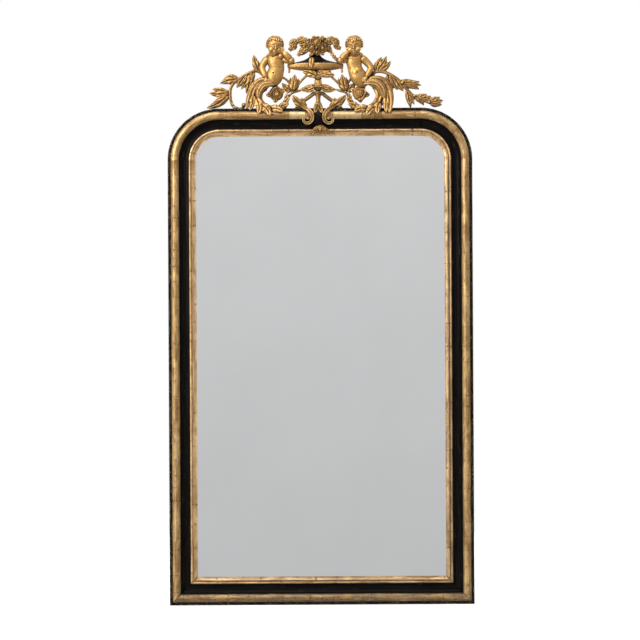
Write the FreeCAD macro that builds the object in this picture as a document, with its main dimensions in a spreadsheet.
import FreeCAD, Part
import math
import os
import Sketcher
from FreeCAD import Placement, Rotation, Vector

# A tall gilt and ebonised mirror with a pierced, carved crest.
# The frame stands on its bottom rail: +Z is up and the glass faces -Y.
# The origin is on the floor, in the middle of the bottom rail's underside.
# In a section, "in" runs from the frame's outer side towards the glass, and
# "front" runs from the back plane towards the viewer.

doc = FreeCAD.newDocument("StandingMirror")
sheet = doc.addObject("Spreadsheet::Sheet", "Sizes")

SIZES = {
    # Whole frame
    "frame_width": 945.0,
    "frame_height": 1540.0,
    "corner_radius": 160.0,
    # Carcass section
    "edge_width": 9.0,
    "edge_depth": 50.0,
    "edge_chamfer": 3.0,
    "torus_seat_depth": 44.0,
    "hollow_width": 30.0,
    "hollow_lip_depth": 46.0,
    "hollow_foot_depth": 37.0,
    "hollow_centre_depth": 54.0,
    "slip_seat_width": 8.0,
    "slip_seat_depth": 33.0,
    "board_shoulder": 13.0,
    # Outer half-round moulding
    "torus_width": 26.0,
    "torus_wall": 3.0,
    # Sight slip
    "bead_width": 7.0,
    "bead_wall": 6.0,
    "groove_width": 4.5,
    "groove_floor": 5.0,
    "cove_width": 10.5,
    "cove_top": 9.0,
    "cove_centre": 15.0,
    "sight_edge": 3.0,
    # Glass and back
    "glass_thickness": 4.0,
    "glass_clearance": 2.0,
    "board_thickness": 8.0,
    "board_gap": 0.3,
    "block_size": 16.0,
    "block_length": 60.0,
    "nail_radius": 1.2,
    "nail_length": 20.0,
    "nail_head_radius": 3.5,
    "nail_head_height": 0.8,
    # Hangers
    "hanger_drop": 200.0,
    "hanger_inset": 32.0,
    "strap_width": 18.0,
    "strap_length": 52.0,
    "strap_thickness": 1.5,
    "eye_offset": 4.5,
    "eye_clearance": 0.05,
    "ring_wire_radius": 2.0,
    "ring_width": 32.0,
    "ring_leg": 7.0,
    "screw_radius": 1.6,
    "screw_head_radius": 3.0,
    "screw_length": 16.0,
    # Crest
    "crest_half_width": 368.0,
    "crest_height": 228.0,
    "peg_radius": 4.0,
    "peg_depth": 22.0,
    "peg_rise": 9.0,
}

for row, (alias, value) in enumerate(SIZES.items(), start=1):
    sheet.set("A%d" % row, alias)
    sheet.set("B%d" % row, str(value))
    sheet.setAlias("B%d" % row, alias)
doc.recompute()


class Size:
    """A length with the spreadsheet expression that it is bound by."""

    def __init__(self, text, value):
        self.text = text
        self.value = value

    def __add__(self, other):
        return Size("(%s + %s)" % (self.text, other.text), self.value + other.value)

    def __sub__(self, other):
        return Size("(%s - %s)" % (self.text, other.text), self.value - other.value)

    def __mul__(self, count):
        return Size("(%s * %s)" % (self.text, count), self.value * count)

    def __truediv__(self, count):
        return Size("(%s / %s)" % (self.text, count), self.value / count)

    def __neg__(self):
        return Size("(0 mm - %s)" % self.text, -self.value)


def size(alias):
    return Size("Sizes.%s * 1 mm" % alias, SIZES[alias])


ZERO = Size("0 mm", 0.0)
parts = {}

# Lines across the section, measured in from the frame's outer side
torus_in = size("edge_width") + size("torus_width")
hollow_in = torus_in + size("hollow_width")
rebate_in = hollow_in + size("slip_seat_width")
board_in = rebate_in - size("board_shoulder")
slip_width = size("bead_width") + size("groove_width") + size("cove_width")
sight_in = hollow_in + slip_width
glass_in = rebate_in + size("glass_clearance")

# Places up and across the whole frame
half_width = size("frame_width") / 2
back_y = size("edge_depth") / 2
straight_top = size("frame_height") - size("corner_radius")
corner_x = half_width - size("corner_radius")


def carcass_outline():
    """Moulded pine: dark edge, seat of the half-round, hollow, slip seat and rebates."""
    foot = size("slip_seat_depth")
    seat = size("torus_seat_depth")
    hollow = (size("hollow_centre_depth"), -1)
    return [
        (ZERO, ZERO, None),
        (board_in, ZERO, None),
        (board_in, size("board_thickness"), None),
        (rebate_in, size("board_thickness"), None),
        (rebate_in, foot, None),
        (hollow_in, foot, None),
        (hollow_in, size("hollow_foot_depth"), hollow),
        (torus_in, size("hollow_lip_depth"), None),
        (torus_in, seat, None),
        (size("edge_width"), seat, None),
        (size("edge_width"), size("edge_depth"), None),
        (size("edge_chamfer"), size("edge_depth"), None),
        (ZERO, size("edge_depth") - size("edge_chamfer"), None),
    ]


def torus_outline():
    """Half-round moulding between the dark edge and the hollow."""
    seat = size("torus_seat_depth")
    spring = seat + size("torus_wall")
    return [
        (size("edge_width"), seat, None),
        (torus_in, seat, None),
        (torus_in, spring, (spring, 1)),
        (size("edge_width"), spring, None),
    ]


def slip_outline():
    """Sight slip: bead, groove and cove, with a lip that overhangs the glass."""
    foot = size("slip_seat_depth")
    bead_in = hollow_in + size("bead_width")
    cove_in = bead_in + size("groove_width")
    bead_top = foot + size("bead_wall")
    floor = foot + size("groove_floor")
    return [
        (hollow_in, foot, None),
        (sight_in, foot, None),
        (sight_in, foot + size("sight_edge"), (foot + size("cove_centre"), -1)),
        (cove_in, foot + size("cove_top"), None),
        (cove_in, floor, None),
        (bead_in, floor, None),
        (bead_in, bead_top, (bead_top, 1)),
        (hollow_in, bead_top, None),
    ]


def origin_plane(body, role):
    return next(plane for plane in body.Origin.OriginFeatures if plane.Role == role)


def bind(sketch, kind, geometry, point, length):
    """Hold one coordinate of a sketch point: on the axis if zero, else by the sheet."""
    if length is ZERO:
        axis = -2 if kind == "DistanceX" else -1
        sketch.addConstraint(Sketcher.Constraint("PointOnObject", geometry, point, axis))
        return
    index = sketch.addConstraint(Sketcher.Constraint(kind, geometry, point, length.value))
    sketch.setExpression("Constraints[%d]" % index, length.text)


def arc_centre(start, end, arc):
    """Centre of an arc whose centre's y is given, and whether it runs forward there.
    An arc that bulges up (side 1) runs against the clock from right to left."""
    centre_y, side = arc
    middle = (start + end) / 2
    run = end - start
    centre_x = middle.x - run.y * (centre_y.value - middle.y) / run.x
    return Vector(centre_x, centre_y.value, 0), (start.x - end.x) * side > 0


def arc_turns(start, end, centre, forward):
    """Angles at an arc's two ends, in the order of its run."""
    first = math.atan2(start.y - centre.y, start.x - centre.x)
    last = math.atan2(end.y - centre.y, end.x - centre.x)
    if forward and last < first:
        last += math.tau
    if not forward and first < last:
        first += math.tau
    return [first, last]


def outline_sketch(body, role, outline):
    """Closed sketch through points (x, y, arc), where arc gives the centre's y and the
    side on which the arc to the next point bulges."""
    sketch = body.newObject("Sketcher::SketchObject", body.Label + "_outline")
    sketch.AttachmentSupport = (origin_plane(body, role), [""])
    sketch.MapMode = "FlatFace"
    ends = []
    for (x, y, arc), (next_x, next_y, _) in zip(outline, outline[1:] + outline[:1]):
        start = Vector(x.value, y.value, 0)
        end = Vector(next_x.value, next_y.value, 0)
        if arc is None:
            geometry = sketch.addGeometry(Part.LineSegment(start, end), False)
            ends.append((geometry, 1, 2))
            continue
        centre, forward = arc_centre(start, end, arc)
        turns = arc_turns(start, end, centre, forward)
        circle = Part.Circle(centre, Vector(0, 0, 1), (start - centre).Length)
        turns = sorted(turns)
        geometry = sketch.addGeometry(Part.ArcOfCircle(circle, *turns), False)
        ends.append((geometry, 1, 2) if forward else (geometry, 2, 1))
        bind(sketch, "DistanceY", geometry, 3, arc[0])
    for (geometry, _, last), (following, first, _) in zip(ends, ends[1:] + ends[:1]):
        sketch.addConstraint(Sketcher.Constraint("Coincident", geometry, last, following, first))
    for (x, y, _), (geometry, first, _) in zip(outline, ends):
        bind(sketch, "DistanceX", geometry, first, x)
        bind(sketch, "DistanceY", geometry, first, y)
    return sketch


def new_body(name, base, rotation):
    """Body whose place follows the sheet."""
    body = doc.addObject("PartDesign::Body", name)
    body.Label = name
    parts[name] = body
    body.Placement = Placement(Vector(*(length.value for length in base)), rotation)
    for axis, length in zip("xyz", base):
        body.setExpression("Placement.Base." + axis, length.text)
    return body


def pad(body, sketch, length):
    feature = body.newObject("PartDesign::Pad", body.Label + "_pad")
    feature.Profile = sketch
    feature.Length = length.value
    feature.setExpression("Length", length.text)
    body.Tip = feature


def axes(across, front):
    """Rotation that lays a section's "in" and "front" along two directions."""
    return Rotation(Vector(*across), Vector(*front), Vector(*across).cross(Vector(*front)), "XYZ")


# Directions of a section on each member: in towards the glass, and front
LEFT = axes((1, 0, 0), (0, -1, 0))
RIGHT = axes((-1, 0, 0), (0, -1, 0))
BOTTOM = axes((0, 0, 1), (0, -1, 0))
TOP = axes((0, 0, -1), (0, -1, 0))


def mitre(body, corners, reach):
    """Cut a member's ends at 45 degrees: each corner is its place along the member
    and the way the cut runs."""
    before = body.Tip
    for place, way in corners:
        outer = -reach
        far = place + reach * way
        near = place - reach * way
        sketch = outline_sketch(body, "XZ_Plane", [
            (outer, near, None), (reach, far, None), (reach, near, None)])
        feature = body.newObject("PartDesign::Pocket", body.Label + "_mitre")
        feature.Profile = sketch
        feature.Type = "ThroughAll"
        feature.Midplane = True
        body.Tip = feature
        doc.recompute()
        if not feature.Shape.Volume < before.Shape.Volume:
            raise RuntimeError("the mitre of %s cuts nothing" % body.Label)
        before = feature


def straight(name, outline, base, rotation, length, mitres=()):
    body = new_body(name, base, rotation)
    pad(body, outline_sketch(body, "XY_Plane", outline), length)
    doc.recompute()
    mitre(body, mitres, slip_width + hollow_in)
    return body


# The round corners are cut in flats, which keeps the number of faces low
FLATS_PER_ARC = 4
CORNER_STEPS = 10
QUARTER_TURN = 90
FLAT_LIMIT = 1e-6


def flattened(outline):
    """Corner points of an outline, with each arc cut into a few flats."""
    points = []
    for (x, y, arc), (next_x, next_y, _) in zip(outline, outline[1:] + outline[:1]):
        start = Vector(x.value, y.value, 0)
        points.append(start)
        if arc is None:
            continue
        centre, forward = arc_centre(start, Vector(next_x.value, next_y.value, 0), arc)
        radius = (start - centre).Length
        turns = arc_turns(start, Vector(next_x.value, next_y.value, 0), centre, forward)
        for step in range(1, FLATS_PER_ARC):
            turn = turns[0] + (turns[1] - turns[0]) * step / FLATS_PER_ARC
            points.append(centre + Vector(math.cos(turn), math.sin(turn), 0) * radius)
    return points


def flat_face(points):
    return Part.Face(Part.makePolygon(points + points[:1]))


def side_faces(a, b, c, d):
    """One flat face through four points, or two where they don't lie in a plane."""
    square = (b - a).cross(c - a).normalize()
    if abs(square.dot(d - a)) < FLAT_LIMIT:
        return [flat_face([a, b, c, d])]
    return [flat_face([a, b, c]), flat_face([a, c, d])]


def skinned(rings):
    """Solid with flat faces between rings of points, closed at both ends."""
    corners = len(rings[0])
    faces = [flat_face(rings[0]), flat_face(rings[-1])]
    for ring, following in zip(rings, rings[1:]):
        for step in range(corners):
            other = (step + 1) % corners
            faces += side_faces(ring[step], ring[other], following[other], following[step])
    solid = Part.Solid(Part.makeShell(faces))
    if solid.Volume < 0:
        solid.reverse()
    return solid


def corner(name, outline, base, rotation, way):
    """Quarter ring of a section, turned about the corner's centre in short lengths."""
    points = [point - Vector(size("corner_radius").value, 0, 0) for point in flattened(outline)]
    rings = []
    for step in range(CORNER_STEPS + 1):
        turn = Rotation(Vector(0, 1, 0), QUARTER_TURN * way * step / CORNER_STEPS)
        rings.append([turn.multVec(point) for point in points])
    ring = doc.addObject("Part::Feature", name)
    ring.Label = name
    parts[name] = ring
    ring.Shape = skinned(rings)
    ring.Placement = Placement(Vector(*(length.value for length in base)), rotation)
    return ring


# The carcass, the half-round and the slip each run round the frame in six lengths
for run_name, outline in (
        ("carcass", carcass_outline()),
        ("outer_moulding", torus_outline()),
        ("sight_slip", slip_outline())):
    straight(run_name + "_left", outline, (-half_width, back_y, straight_top), LEFT,
             straight_top, [(straight_top, -1)])
    straight(run_name + "_right", outline, (half_width, back_y, ZERO), RIGHT,
             straight_top, [(ZERO, 1)])
    straight(run_name + "_bottom", outline, (-half_width, back_y, ZERO), BOTTOM,
             size("frame_width"), [(ZERO, 1), (size("frame_width"), -1)])
    straight(run_name + "_top", outline, (corner_x, back_y, size("frame_height")), TOP,
             corner_x * 2)
    corner(run_name + "_corner_left", outline, (-corner_x, back_y, straight_top), LEFT, -1)
    corner(run_name + "_corner_right", outline, (corner_x, back_y, straight_top), RIGHT, 1)


# The mirror plate and the back boards share one shape: square below, rounded above
def arched_panel(name, low, high, inset, back, thickness, rounded=True):
    """Panel that lies `inset` inside the frame's outer side."""
    body = new_body(name, (ZERO, back_y - back, ZERO), Rotation())
    side = half_width - inset
    radius = size("corner_radius") - inset
    outline = [(-side, low, None), (side, low, None)]
    if rounded:
        outline += [
            (side, high - radius, (high - radius, 1)),
            (side - radius, high, None),
            (-(side - radius), high, (high - radius, 1)),
            (-side, high - radius, None),
        ]
    else:
        outline += [(side, high, None), (-side, high, None)]
    sketch = outline_sketch(body, "XZ_Plane", outline)
    pad(body, sketch, thickness)


glass_front = size("slip_seat_depth")
glass_back = glass_front - size("glass_thickness")
arched_panel("mirror_plate", glass_in, size("frame_height") - glass_in, glass_in,
             glass_back, size("glass_thickness"))

BOARD_COUNT = 5
board_low = board_in + size("board_gap")
board_high = size("frame_height") - board_low
board_pitch = (board_high - board_low) / BOARD_COUNT
for number in range(BOARD_COUNT):
    low = board_low + board_pitch * number
    top = number == BOARD_COUNT - 1
    high = board_high if top else low + board_pitch - size("board_gap")
    arched_panel("back_board_%d" % (number + 1), low, high, board_low, ZERO,
                 size("board_thickness"), rounded=top)


def add_shape(name, shape):
    """Sub-part whose shape is worked out here from the sheet's sizes."""
    item = doc.addObject("Part::Feature", name)
    item.Label = name
    item.Shape = shape
    item.Placement = Placement()
    parts[name] = item
    return item


def cut_by(name, tools):
    """Cut pockets and bores for the pieces that sit in this one."""
    blank = parts[name]
    blank.Label = name + "_blank"
    cut = doc.addObject("Part::Cut", name)
    cut.Label = name
    cut.Base = blank
    cut.Tool = parts[tools]
    parts[name] = cut


# Sizes as plain lengths, for the shapes that are worked out below
length = {alias: sheet.get(alias) for alias in SIZES}
wall_y = back_y.value
top_z = length["frame_height"]

# Glazing blocks: three-cornered pine blocks that hold the glass in its rebate
BLOCK_SIDE_SHARES = (0.12, 0.37, 0.63, 0.88)
BLOCK_END_SHARES = (-0.4, 0.4)


def glazing_block(corner_point, inward, along):
    """Prism with one face on the glass and one on the rebate's wall."""
    reach = length["block_size"]
    start = corner_point - along * (length["block_length"] / 2)
    outline = Part.makePolygon([
        start, start + inward * reach, start + Vector(0, reach, 0), start])
    return Part.Face(outline).extrude(along * length["block_length"])


def glazing_blocks():
    glass_y = wall_y - glass_back.value
    side = half_width.value - rebate_in.value
    low = rebate_in.value
    high = top_z - rebate_in.value
    blocks = []
    for hand in (-1, 1):
        for share in BLOCK_SIDE_SHARES:
            place = Vector(hand * side, glass_y, low + share * (straight_top.value - low))
            blocks.append(glazing_block(place, Vector(-hand, 0, 0), Vector(0, 0, 1)))
    for share in BLOCK_END_SHARES:
        for height, way in ((low, 1), (high, -1)):
            place = Vector(share * side, glass_y, height)
            blocks.append(glazing_block(place, Vector(0, 0, way), Vector(1, 0, 0)))
    return Part.makeCompound(blocks)


add_shape("glazing_blocks", glazing_blocks())

# Nails that hold the back boards to the carcass
NAIL_SIDE_SHARES = (0.2, 0.6)
NAIL_END_SHARES = (-0.6, 0.0, 0.6)


def block_about(place, half, low, high):
    """Square bar along Y about a point, from y offset `low` to `high`."""
    corner_point = place + Vector(-half, low, -half)
    return Part.makeBox(half * 2, high - low, half * 2, corner_point)


def board_nail(place):
    """Square cut nail with a flat head."""
    head = block_about(place, length["nail_head_radius"], 0, length["nail_head_height"])
    shank = block_about(place, length["nail_radius"], -length["nail_length"], 0)
    return head.fuse(shank)


def board_nails():
    edge = board_in.value + length["board_shoulder"] / 2
    side = half_width.value - edge
    nails = []
    for number in range(BOARD_COUNT):
        for share in NAIL_SIDE_SHARES:
            height = board_low.value + board_pitch.value * (number + share)
            nails += [board_nail(Vector(hand * side, wall_y, height)) for hand in (-1, 1)]
    for share in NAIL_END_SHARES:
        for height in (edge, top_z - edge):
            nails.append(board_nail(Vector(share * corner_x.value, wall_y, height)))
    return Part.makeCompound(nails)


add_shape("board_nails", board_nails())

# Ring hangers on the back: a strap with a rolled eye, two screws and a loose ring
SCREW_PLACE_SHARES = (0.5, 0.85)
SCREW_FLATS = 8
SIDES = (("left", -1), ("right", 1))


def section(centre, along, half_across, half_deep, flats, ridged):
    """Points of a many-sided section square to `along`, which shows a ridge to the
    front if `ridged` and a flat if not."""
    along = Vector(along).normalize()
    across = along.cross(Vector(0, 1, 0))
    if across.Length < FLAT_LIMIT:
        across = Vector(1, 0, 0)
    across.normalize()
    deep = across.cross(along)
    points = []
    first = 0 if ridged else math.pi / flats
    for step in range(flats):
        turn = first + math.tau * step / flats
        points.append(centre + across * (half_across * math.cos(turn))
                      + deep * (half_deep * math.sin(turn)))
    return points


def sections(path, half_across, half_deep, flats, ridged=False):
    """Rings of points along a path, with a half width and a half depth for each."""
    rings = []
    for index, point in enumerate(path):
        before = path[max(index - 1, 0)]
        after = path[min(index + 1, len(path) - 1)]
        rings.append(section(point, after - before, half_across[index], half_deep[index],
                             flats, ridged))
    return rings


def rod(path, radii, flats):
    """Solid that swells and tapers along a path of points, cut in flat facets."""
    return skinned(sections(path, radii, radii, flats))


def hanger_place(hand):
    x = hand * (half_width.value - length["hanger_inset"])
    return Vector(x, wall_y, straight_top.value - length["hanger_drop"])


def hanger_screws():
    screws = []
    head = length["screw_head_radius"]
    shank = length["screw_radius"]
    for _, hand in SIDES:
        for share in SCREW_PLACE_SHARES:
            place = hanger_place(hand) - Vector(0, 0, share * length["strap_length"])
            place += Vector(0, length["strap_thickness"], 0)
            inward = Vector(0, -1, 0)
            stations = [(0, head), (head - shank, shank), (length["screw_length"], shank)]
            radii = [radius for _, radius in stations]
            path = [place + inward * depth for depth, _ in stations]
            screws.append(rod(path, radii, SCREW_FLATS))
    return Part.makeCompound(screws)


def hanger_strap(hand):
    place = hanger_place(hand)
    width = length["strap_width"]
    thick = length["strap_thickness"]
    tail = Part.makeBox(width, thick, length["strap_length"],
                        place - Vector(width / 2, 0, length["strap_length"]))
    bore = length["ring_wire_radius"] + length["eye_clearance"]
    start = place + Vector(-width / 2, length["eye_offset"], 0)
    eye = Part.makeCylinder(bore + thick, width, start, Vector(1, 0, 0))
    hole = Part.makeCylinder(bore, width, start, Vector(1, 0, 0))
    return tail.fuse(eye).cut(hole)


RING_BOW_STEPS = 7
WIRE_FLATS = 8


def hanger_ring(hand):
    """Wire ring: a straight bar that turns in the eye, two legs and a half-round bow."""
    place = hanger_place(hand) + Vector(0, length["eye_offset"], 0)
    wire = length["ring_wire_radius"]
    half = length["ring_width"] / 2 - wire
    bar = Part.makeCylinder(wire, half * 2, place - Vector(half, 0, 0), Vector(1, 0, 0))
    path = [place + Vector(half, 0, wire)]
    for step in range(RING_BOW_STEPS + 1):
        turn = math.pi * step / RING_BOW_STEPS
        path.append(place + Vector(half * math.cos(turn), 0,
                                   -length["ring_leg"] - half * math.sin(turn)))
    path.append(place + Vector(-half, 0, wire))
    radii = [wire] * len(path)
    return bar.fuse(rod(path, radii, WIRE_FLATS))


add_shape("hanger_screws", hanger_screws())
for side_name, hand in SIDES:
    add_shape("hanger_strap_" + side_name, hanger_strap(hand))
    add_shape("hanger_ring_" + side_name, hanger_ring(hand))
    cut_by("hanger_strap_" + side_name, "hanger_screws")

# The carving's thicknesses are shares of the crest's half width. It is drawn at a
# set height too, and then stretched up to the crest's height.
CARVING_SHARES = {
    "stem_radius": 0.0109,
    "strut_radius": 0.0150,
    "leaf_half_width": 0.0231,
    "leaf_half_depth": 0.0109,
    "scroll_radius": 0.0408,
    "volute_half_width": 0.0163,
    "volute_half_depth": 0.0190,
    "tazza_half_width": 0.2391,
    "tazza_half_depth": 0.0707,
    "neck_radius": 0.0326,
    "knop_radius": 0.0516,
    "head_half_width": 0.0707,
    "head_half_height": 0.0815,
    "head_half_depth": 0.0652,
    "torso_half_width": 0.0679,
    "torso_half_depth": 0.0462,
    "arm_radius": 0.0258,
    "rose_radius": 0.0516,
    "rosette_radius": 0.0571,
    "cartouche_half_width": 0.0462,
    "cartouche_half_depth": 0.0231,
    "palmette_heart_radius": 0.0217,
}
DRAWN_HEIGHT_SHARE = 0.62
carving = {name: share * length["crest_half_width"] for name, share in CARVING_SHARES.items()}
drawn_height = DRAWN_HEIGHT_SHARE * length["crest_half_width"]
rise_share = length["crest_height"] / drawn_height

# Pegs that hold the crest on the top rail
PEG_PLACE_SHARES = (-0.485, -0.012, 0.480)
PEG_FLATS = 8
CREST_FRONT_SHARE = 0.5


def crest_point(x_share, z_share, front_share=CREST_FRONT_SHARE):
    """Place in the drawn crest, as shares of its half width, its height and the edge's
    depth."""
    return Vector(x_share * length["crest_half_width"],
                  wall_y - front_share * length["edge_depth"],
                  top_z + z_share * drawn_height)


def carved(path, half_across, half_deep, flats, ridged=False):
    """Rod of the carving, stretched up from the drawing to the crest's height."""
    rings = [[Vector(point.x, point.y, top_z + (point.z - top_z) * rise_share) for point in ring]
             for ring in sections(path, half_across, half_deep, flats, ridged)]
    return skinned(rings)


def crest_pegs():
    pegs = []
    for share in PEG_PLACE_SHARES:
        foot = crest_point(share, 0)
        path = [foot - Vector(0, 0, length["peg_depth"]), foot + Vector(0, 0, length["peg_rise"])]
        radii = [length["peg_radius"]] * 2
        pegs.append(rod(path, radii, PEG_FLATS))
    return Part.makeCompound(pegs)


add_shape("crest_pegs", crest_pegs())

for name in list(parts):
    if name.startswith("back_board_") or name.startswith("carcass_"):
        if "corner" not in name:
            cut_by(name, "board_nails")
cut_by("carcass_left", "hanger_screws")
cut_by("carcass_right", "hanger_screws")
cut_by("carcass_top", "crest_pegs")

# Crest: stems, leaves, lumps and turned shapes that the pieces are put together from
STEM_FLATS = 5
LEAF_FLATS = 4
BUD_FLATS = 6
LUMP_FLATS = 7
TURNED_FLATS = 12
LEAF_ALONG_SHARES = (0.0, 0.5, 1.0)
LEAF_WIDTH_SHARES = (0.50, 1.20, 0.20)
LEAF_DEPTH_SHARES = (0.80, 1.05, 0.30)
LUMP_HEIGHT_SHARES = (-1.0, -0.7, 0.0, 0.7, 1.0)
LUMP_WIDTH_SHARES = (0.3, 0.78, 1.0, 0.78, 0.3)
STEM_END_SHARE = 0.7
MIDDLE_SHARE = -0.012


def stem(places, radius, end_share=STEM_END_SHARE):
    """Round stem that thins towards its end."""
    path = [crest_point(*place) for place in places]
    last = len(path) - 1
    radii = [radius * (1 - (1 - end_share) * index / last) for index in range(last + 1)]
    return carved(path, radii, radii, STEM_FLATS)


def leaf(base, tip, width_share=1.0, bow_share=0.0):
    """Leaf with a ridge from base to tip, bowed sideways by a share of its length."""
    start = crest_point(*base)
    run = crest_point(*tip) - start
    side = run.cross(Vector(0, 1, 0)) * bow_share
    path = [start + run * share + side * (4 * share * (1 - share)) for share in LEAF_ALONG_SHARES]
    across = [carving["leaf_half_width"] * width_share * share for share in LEAF_WIDTH_SHARES]
    deep = [carving["leaf_half_depth"] * share for share in LEAF_DEPTH_SHARES]
    return carved(path, across, deep, LEAF_FLATS, ridged=True)


def leaves(table):
    return [leaf(*row) for row in table]


def lump(place, half_across, half_deep, half_high, flats=LUMP_FLATS):
    """Rounded lump built from level sections."""
    centre = crest_point(*place)
    path = [centre + Vector(0, 0, half_high * share) for share in LUMP_HEIGHT_SHARES]
    across = [half_across * share for share in LUMP_WIDTH_SHARES]
    deep = [half_deep * share for share in LUMP_WIDTH_SHARES]
    return carved(path, across, deep, flats)


def bud(place, radius, flats=BUD_FLATS):
    return lump(place, radius, radius, radius, flats)


def turned(x_share, stations, half_across, half_deep, flats=TURNED_FLATS):
    """Vase-like solid: stations give a height share and a width share."""
    path = [crest_point(x_share, height) for height, _ in stations]
    across = [half_across * share for _, share in stations]
    deep = [half_deep * share for _, share in stations]
    return carved(path, across, deep, flats)


def limb(rows, half_across, half_deep, flats=LUMP_FLATS):
    """Thick body along a path: rows give a place and a width share."""
    path = [crest_point(*place) for *place, _ in rows]
    across = [half_across * share for *_, share in rows]
    deep = [half_deep * share for *_, share in rows]
    return carved(path, across, deep, flats)


def join(shapes):
    return shapes[0].fuse(shapes[1:]) if len(shapes) > 1 else shapes[0]


# The oval cup in the middle, on its neck and knop
TAZZA_BOWL_SHARES = [(0.50, 0.22), (0.522, 0.62), (0.545, 0.93), (0.57, 1.0), (0.609, 1.0),
                     (0.617, 0.92)]
TAZZA_X_SHARE = -0.034
TAZZA_DROP_SHARES = [[(x_share, 0.58), (x_share, 0.487)] for x_share in (-0.256, 0.190)]
TAZZA_LEAF_SHARES = [((-0.06, 0.655, 0.95), (-0.062, 0.535, 1.03), 0.6)]
DOME_SHARES = [(0.617, 0.86), (0.640, 0.55), (0.672, 0.32), (0.72, 0.17), (0.77, 0.12)]
NECK_SHARES = [(0.40, 1.0), (0.44, 0.75), (0.50, 1.45)]
KNOP_SHARES = [(0.235, 0.55), (0.262, 0.95), (0.30, 1.0), (0.33, 0.72), (0.37, 0.66),
               (0.395, 0.95), (0.405, 0.8)]
KNOP_LEAF_SHARES = [
    ((-0.05, 0.285), (-0.155, 0.262), 0.8, -0.06),
    ((0.03, 0.285), (0.155, 0.262), 0.8, 0.06),
]
NECK_LEAF_SHARES = [
    ((MIDDLE_SHARE, 0.42, 0.8), (-0.105, 0.505, 0.7), 0.9, 0.1),
    ((MIDDLE_SHARE, 0.42, 0.8), (0.085, 0.505, 0.7), 0.9, -0.1),
]


def tazza():
    bowl = turned(TAZZA_X_SHARE, TAZZA_BOWL_SHARES, carving["tazza_half_width"],
                  carving["tazza_half_depth"])
    drops = [stem(places, carving["stem_radius"]) for places in TAZZA_DROP_SHARES]
    return join([bowl] + drops + leaves(TAZZA_LEAF_SHARES))


def tazza_dome():
    return turned(TAZZA_X_SHARE, DOME_SHARES, carving["tazza_half_width"], carving["tazza_half_depth"])


def tazza_neck():
    radius = carving["neck_radius"]
    return turned(MIDDLE_SHARE, NECK_SHARES, radius, radius, LUMP_FLATS)


def knop():
    radius = carving["knop_radius"]
    vase = turned(MIDDLE_SHARE, KNOP_SHARES, radius, radius, LUMP_FLATS)
    return join([vase] + leaves(KNOP_LEAF_SHARES))


# Roses above the cup and the garlands that hang at their sides
ROSE_SHARES = [
    (-0.020, 0.900, 0.60, 1.0), (-0.085, 0.905, 0.45, 0.75), (0.040, 0.915, 0.45, 0.75),
    (-0.060, 0.825, 0.70, 0.80), (0.020, 0.820, 0.70, 0.80), (-0.125, 0.845, 0.50, 0.50),
    (0.070, 0.850, 0.50, 0.50), (-0.020, 0.765, 0.65, 0.60),
]
GARLAND_LEFT_SHARES = [
    ((-0.090, 0.900), (-0.160, 0.960), 1.1, -0.1),
    ((-0.130, 0.930), (-0.205, 0.880), 1.0, -0.1),
    ((-0.185, 0.905), (-0.238, 0.825), 1.1, -0.1),
    ((-0.100, 0.840), (-0.178, 0.740), 1.1, 0.0),
]
GARLAND_RIGHT_SHARES = [
    ((0.045, 0.910), (0.108, 0.950), 1.1, 0.1),
    ((0.085, 0.930), (0.140, 0.880), 1.0, 0.1),
    ((0.125, 0.905), (0.165, 0.815), 1.1, 0.1),
    ((0.060, 0.845), (0.105, 0.760), 0.8, 0.0),
    ((0.098, 0.775), (0.135, 0.690), 0.7, 0.0),
    ((0.128, 0.705), (0.168, 0.625), 0.7, 0.0),
]


def bouquet():
    return join([bud(place, carving["rose_radius"] * share) for *place, share in ROSE_SHARES])


# The two child figures: head, topknot, trunk and bent arms
ARM_END_SHARE = 0.9
FOREARM_SHARE = 0.85
ELBOW_SHARE = 0.95
CROWN_SHARE = 1.5
PUTTO_LEFT_SHARES = {
    "head": (-0.372, 0.840, 0.72),
    "crown": (-0.367, 0.968, 0.66),
    "trunk": [(-0.366, 0.765, 0.62, 0.50), (-0.348, 0.690, 0.61, 1.05),
              (-0.342, 0.560, 0.64, 1.05), (-0.362, 0.415, 0.64, 1.0),
              (-0.425, 0.290, 0.56, 0.80)],
    "arms": [[(-0.415, 0.680, 0.60), (-0.474, 0.550, 0.66), (-0.450, 0.385, 0.86)],
             [(-0.305, 0.680, 0.62), (-0.236, 0.650, 0.84), (-0.310, 0.765, 0.92)]],
}
PUTTO_RIGHT_SHARES = {
    "head": (0.300, 0.840, 0.72),
    "crown": (0.296, 0.965, 0.66),
    "trunk": [(0.300, 0.765, 0.62, 0.50), (0.304, 0.690, 0.61, 1.05),
              (0.312, 0.560, 0.64, 1.05), (0.342, 0.415, 0.64, 1.0),
              (0.425, 0.300, 0.56, 0.80)],
    "arms": [[(0.368, 0.685, 0.60), (0.446, 0.545, 0.66), (0.402, 0.398, 0.86)],
             [(0.250, 0.680, 0.62), (0.178, 0.648, 0.84), (0.246, 0.765, 0.92)]],
}


def bent_arm(shoulder, elbow, hand):
    """Upper arm, rounded elbow and forearm with a small hand."""
    arm = carving["arm_radius"]
    return [
        stem([shoulder, elbow], arm, ARM_END_SHARE),
        bud(elbow, arm * ELBOW_SHARE, LUMP_FLATS),
        stem([elbow, hand], arm * FOREARM_SHARE),
        bud(hand, arm * ELBOW_SHARE, LUMP_FLATS),
    ]


def putto(head, crown, trunk, arms):
    """Half figure: head with its topknot, trunk and two bent arms."""
    figure = [
        lump(head, carving["head_half_width"], carving["head_half_depth"],
             carving["head_half_height"]),
        bud(crown, carving["stem_radius"] * CROWN_SHARE),
        limb(trunk, carving["torso_half_width"], carving["torso_half_depth"]),
    ]
    for places in arms:
        figure += bent_arm(*places)
    return join(figure)


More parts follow.
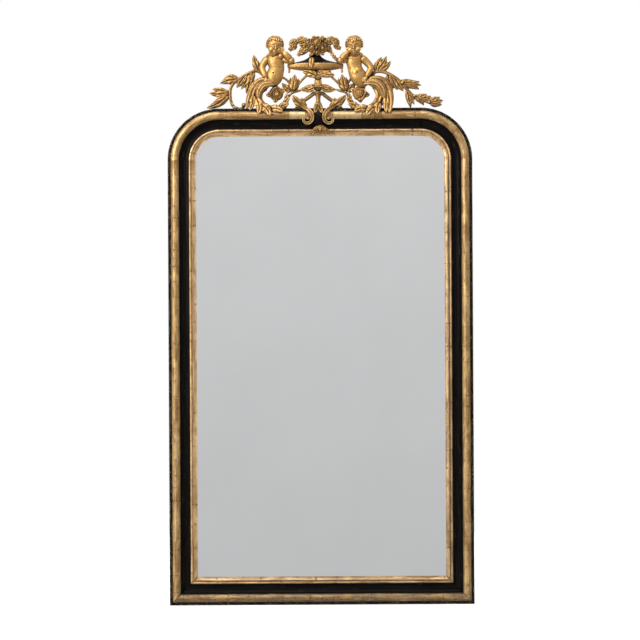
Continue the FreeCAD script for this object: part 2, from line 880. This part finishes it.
# Acanthus tails: each runs down from a figure and curls round above the rail
SCROLL_LEFT_SHARES = {
    "tail": [(-0.440, 0.320, 0.50, 1.2), (-0.495, 0.300, 0.46, 1.25), (-0.525, 0.225, 0.46, 1.1),
             (-0.520, 0.120, 0.50, 0.95), (-0.482, 0.020, 0.60, 0.95),
             (-0.420, -0.035, 0.80, 0.95), (-0.355, -0.030, 0.90, 0.80),
             (-0.305, 0.025, 0.75, 0.65), (-0.282, 0.110, 0.55, 0.50),
             (-0.285, 0.190, 0.50, 0.40)],
    "foliage": [((-0.520, 0.320), (-0.580, 0.100), 1.3, 0.04),
                ((-0.545, 0.200), (-0.612, 0.040), 1.2, 0.1),
                ((-0.560, 0.130, 0.6), (-0.622, -0.020, 0.9), 1.2, 0.1),
                ((-0.495, 0.020, 0.8), (-0.528, -0.055, 1.34), 0.85, 0.0),
                ((-0.455, -0.020, 1.0), (-0.470, -0.090, 1.42), 0.85, 0.0),
                ((-0.400, -0.030, 1.0), (-0.400, -0.100, 1.42), 0.85, 0.0),
                ((-0.350, -0.020, 1.0), (-0.330, -0.070, 1.38), 0.85, 0.0)],
}
SCROLL_RIGHT_SHARES = {
    "tail": [(0.430, 0.330, 0.50, 1.2), (0.480, 0.345, 0.46, 1.35), (0.520, 0.270, 0.46, 1.45),
             (0.520, 0.150, 0.50, 1.25), (0.478, 0.030, 0.60, 1.0),
             (0.415, -0.040, 0.80, 0.95), (0.345, -0.030, 0.90, 0.80),
             (0.290, 0.020, 0.75, 0.65), (0.258, 0.095, 0.55, 0.50),
             (0.262, 0.170, 0.50, 0.40)],
    "foliage": [((0.535, 0.330), (0.582, 0.100), 1.4, -0.12),
                ((0.568, 0.180, 0.6), (0.578, -0.075, 1.36), 1.6, 0.0),
                ((0.500, 0.040, 0.8), (0.500, -0.060, 1.34), 0.85, 0.0),
                ((0.450, -0.020, 1.0), (0.455, -0.100, 1.42), 0.85, 0.0),
                ((0.400, -0.030, 1.0), (0.395, -0.108, 1.42), 0.85, 0.0),
                ((0.345, -0.020, 1.0), (0.325, -0.075, 1.38), 0.85, 0.0)],
}
ROSETTE_LEFT_SHARES = {"centre": (-0.366, 0.205, 0.55), "root": (-0.395, 0.300, 0.52)}
ROSETTE_RIGHT_SHARES = {"centre": (0.338, 0.200, 0.55), "root": (0.385, 0.300, 0.52)}
ROSETTE_STALK_SHARE = 1.3


def scroll(tail, foliage):
    body = limb(tail, carving["scroll_radius"], carving["scroll_radius"])
    return join([body] + leaves(foliage))


def rosette(centre, root):
    flower = bud(centre, carving["rosette_radius"], LUMP_FLATS)
    return join([flower, stem([root, centre], carving["stem_radius"] * ROSETTE_STALK_SHARE)])


# Flower sprays that run out over the rail's rounded corners
SPRAY_STALK_SHARE = 1.35
SPRAY_LEFT_SHARES = {
    "stalk": [(-0.470, 0.440), (-0.510, 0.510), (-0.550, 0.520), (-0.612, 0.470),
              (-0.676, 0.410), (-0.722, 0.358), (-0.748, 0.296), (-0.756, 0.223),
              (-0.750, 0.131), (-0.735, 0.040), (-0.690, -0.015, 0.6), (-0.640, 0.010, 0.6)],
    "foliage": [((-0.515, 0.500), (-0.552, 0.735), 1.2, 0.05),
                ((-0.700, 0.390), (-0.835, 0.335), 1.5, -0.1),
                ((-0.560, 0.500), (-0.590, 0.330), 1.0, 0.0),
                ((-0.590, 0.470), (-0.622, 0.205), 1.6, 0.05),
                ((-0.640, 0.430), (-0.690, 0.285), 1.2, 0.0),
                ((-0.765, 0.220), (-0.935, 0.212), 1.3, 0.08),
                ((-0.770, 0.200), (-0.955, 0.010), 1.7, 0.1)],
}
SPRAY_RIGHT_SHARES = {
    "stalk": [(0.450, 0.440), (0.485, 0.505), (0.543, 0.492), (0.606, 0.447), (0.676, 0.368),
              (0.725, 0.277), (0.773, 0.188), (0.850, 0.120), (0.920, 0.075), (0.990, 0.015)],
    "foliage": [((0.480, 0.500), (0.560, 0.710), 1.7, -0.05),
                ((0.520, 0.520), (0.598, 0.640), 1.1, 0.0),
                ((0.690, 0.355), (0.850, 0.350), 1.3, -0.1),
                ((0.700, 0.340), (0.850, 0.265), 1.2, 0.0),
                ((0.580, 0.440), (0.612, 0.150), 1.6, 0.0),
                ((0.620, 0.410), (0.690, 0.215), 1.4, 0.0),
                ((0.745, 0.240), (0.775, -0.010), 1.0, 0.0),
                ((0.800, 0.160), (0.885, 0.030), 1.2, 0.1),
                ((0.830, 0.145), (0.945, 0.165), 1.2, -0.1),
                ((0.930, 0.080), (1.035, 0.120), 1.2, 0.0),
                ((0.940, 0.060), (1.040, 0.050), 1.1, 0.0)],
}


def spray(stalk, foliage):
    return join([stem(stalk, carving["stem_radius"] * SPRAY_STALK_SHARE)] + leaves(foliage))


# Sprigs that tie the cup, the knop and the tails together
SPRIG_HUB_SHARE = 1.5
SPRIG_LEFT_SHARES = {
    "hub": (-0.227, 0.223),
    "foliage": [((-0.227, 0.223), (-0.206, 0.465), 1.3, 0.0),
                ((-0.227, 0.223), (-0.312, 0.345), 1.1, 0.05)],
    "stems": [[(-0.227, 0.223), (-0.255, 0.340), (-0.300, 0.440)],
              [(-0.227, 0.223), (-0.180, 0.330), (-0.115, 0.440), (-0.060, 0.505)],
              [(-0.227, 0.223), (-0.140, 0.262)],
              [(-0.295, 0.110), (-0.260, 0.170), (-0.227, 0.223)]],
}
SPRIG_RIGHT_SHARES = {
    "hub": (0.219, 0.223),
    "foliage": [((0.219, 0.223), (0.187, 0.465), 1.3, 0.0),
                ((0.219, 0.223), (0.300, 0.345), 1.1, -0.05)],
    "stems": [[(0.219, 0.223), (0.240, 0.340), (0.290, 0.440)],
              [(0.219, 0.223), (0.165, 0.330), (0.095, 0.440), (0.040, 0.505)],
              [(0.219, 0.223), (0.140, 0.262)],
              [(0.265, 0.110), (0.245, 0.170), (0.219, 0.223)]],
}


def sprig(hub, foliage, stems):
    stalks = [stem(places, carving["stem_radius"]) for places in stems]
    centre = bud(hub, carving["stem_radius"] * SPRIG_HUB_SHARE)
    return join([centre] + stalks + leaves(foliage))


# Middle strut with its two side struts and the leaves that meet the tails
STRUT_COLLAR_SHARES = [(MIDDLE_SHARE, 0.225, 2.2, 1.6), (MIDDLE_SHARE, 0.058, 1.7, 1.3)]
STRUT_SHARES = [
    ([(MIDDLE_SHARE, 0.23), (MIDDLE_SHARE, 0.058), (MIDDLE_SHARE, -0.004)], 1.4),
    ([(-0.025, 0.215), (-0.090, 0.150), (-0.165, 0.070)], 1.0),
    ([(0.001, 0.215), (0.065, 0.145), (0.140, 0.065)], 1.0),
]
STRUT_LEAF_SHARES = [
    ((MIDDLE_SHARE, 0.05, 0.7), (-0.042, -0.070, 1.36), 1.0),
    ((MIDDLE_SHARE, 0.05, 0.7), (0.018, -0.070, 1.36), 1.0),
    ((-0.110, 0.020), (-0.225, 0.180), 1.3, 0.1),
    ((0.085, 0.020), (0.215, 0.180), 1.3, -0.1),
    ((-0.130, 0.040), (-0.205, -0.004), 1.0),
    ((0.110, 0.040), (0.190, -0.004), 1.0),
]


def crest_stem():
    strut = carving["strut_radius"]
    collars = [lump((x, z), strut * wide, strut * wide, strut * high)
               for x, z, wide, high in STRUT_COLLAR_SHARES]
    struts = [stem(places, strut * share) for places, share in STRUT_SHARES]
    return join(collars + struts + leaves(STRUT_LEAF_SHARES))


# Volutes, cartouche and palmette that hang over the rail's front
VOLUTE_END_SHARE = 0.7
VOLUTE_LEFT_SHARES = [
    (-0.160, 0.055, 0.60), (-0.135, 0.015, 1.00), (-0.100, -0.015, 1.30), (-0.070, -0.065, 1.40),
    (-0.060, -0.115, 1.40), (-0.068, -0.175, 1.40), (-0.093, -0.208, 1.40), (-0.120, -0.190, 1.40),
    (-0.126, -0.150, 1.40), (-0.106, -0.128, 1.42),
]
VOLUTE_RIGHT_SHARES = [
    (0.130, 0.055, 0.60), (0.105, 0.015, 1.00), (0.072, -0.015, 1.30), (0.044, -0.065, 1.40),
    (0.035, -0.115, 1.40), (0.043, -0.175, 1.40), (0.068, -0.208, 1.40), (0.095, -0.190, 1.40),
    (0.102, -0.150, 1.40), (0.082, -0.128, 1.42),
]
CARTOUCHE_SHARES = [
    (-0.020, 1.10, 0.6), (-0.090, 1.22, 1.0), (-0.170, 1.14, 0.95), (-0.245, 0.98, 0.7),
]
PALMETTE_HEART_SHARES = (0.000, -0.262, 0.95)
PALMETTE_ROOT_SHARES = [(-0.020, -0.262, 0.95), (-0.010, -0.270, 0.96), (0.001, -0.272, 0.97),
                        (0.012, -0.270, 0.96), (0.022, -0.262, 0.95)]
PALMETTE_TIP_SHARES = [(-0.105, -0.325, 0.86), (-0.050, -0.350, 0.86), (0.004, -0.362, 0.86),
                       (0.060, -0.350, 0.86), (0.115, -0.325, 0.86)]
PALMETTE_WIDTH_SHARE = 0.8


def volute(places):
    path = [crest_point(*place) for place in places]
    last = len(path) - 1
    across = [carving["volute_half_width"] * (1 - (1 - VOLUTE_END_SHARE) * index / last)
              for index in range(last + 1)]
    deep = [carving["volute_half_depth"]] * (last + 1)
    return carved(path, across, deep, STEM_FLATS)


def cartouche():
    path = [crest_point(MIDDLE_SHARE, z, front) for z, front, _ in CARTOUCHE_SHARES]
    across = [carving["cartouche_half_width"] * share for _, _, share in CARTOUCHE_SHARES]
    deep = [carving["cartouche_half_depth"] * share for _, _, share in CARTOUCHE_SHARES]
    return carved(path, across, deep, LUMP_FLATS)


def palmette():
    heart = bud(PALMETTE_HEART_SHARES, carving["palmette_heart_radius"])
    fan = [leaf(root, tip, PALMETTE_WIDTH_SHARE)
           for root, tip in zip(PALMETTE_ROOT_SHARES, PALMETTE_TIP_SHARES)]
    return join([heart] + fan)


# Each carved piece is let into the ones before it, so that they meet face to face
CREST = [
    ("crest_stem", crest_stem()),
    ("knop", knop()),
    ("tazza_neck", tazza_neck()),
    ("neck_leaves", join(leaves(NECK_LEAF_SHARES))),
    ("tazza", tazza()),
    ("tazza_dome", tazza_dome()),
    ("bouquet", bouquet()),
    ("garland_left", join(leaves(GARLAND_LEFT_SHARES))),
    ("garland_right", join(leaves(GARLAND_RIGHT_SHARES))),
    ("putto_left", putto(**PUTTO_LEFT_SHARES)),
    ("putto_right", putto(**PUTTO_RIGHT_SHARES)),
    ("scroll_left", scroll(**SCROLL_LEFT_SHARES)),
    ("scroll_right", scroll(**SCROLL_RIGHT_SHARES)),
    ("rosette_left", rosette(**ROSETTE_LEFT_SHARES)),
    ("rosette_right", rosette(**ROSETTE_RIGHT_SHARES)),
    ("sprig_left", sprig(**SPRIG_LEFT_SHARES)),
    ("sprig_right", sprig(**SPRIG_RIGHT_SHARES)),
    ("spray_left", spray(**SPRAY_LEFT_SHARES)),
    ("spray_right", spray(**SPRAY_RIGHT_SHARES)),
    ("volute_left", volute(VOLUTE_LEFT_SHARES)),
    ("volute_right", volute(VOLUTE_RIGHT_SHARES)),
    ("cartouche", cartouche()),
    ("palmette", palmette()),
]

doc.recompute()
settled = [(name, parts[name].Shape) for name in parts
           if name.startswith(("carcass_", "outer_moulding_", "sight_slip_", "crest_pegs"))]
for name, shape in CREST:
    for _, neighbour in settled:
        if shape.BoundBox.intersect(neighbour.BoundBox):
            shape = shape.cut(neighbour)
    shape = max(shape.Solids, key=lambda solid: solid.Volume)
    add_shape(name, shape)
    settled.append((name, shape))

# Every feature must have built, and every sub-part must be sound, before it is written
doc.recompute()
failed = [item.Label for item in doc.Objects if {"Invalid", "Error"} & set(item.State)]
if failed:
    raise RuntimeError("did not build: " + ", ".join(failed))
unsound = [name for name, item in parts.items()
           if item.Shape.isNull() or not item.Shape.isValid() or item.Shape.Volume <= 0]
if unsound:
    raise RuntimeError("no sound shape: " + ", ".join(unsound))
os.makedirs("parts", exist_ok=True)
for name, item in parts.items():
    item.Shape.exportStep("parts/%s.step" % name)
print("%d sub-parts written" % len(parts))
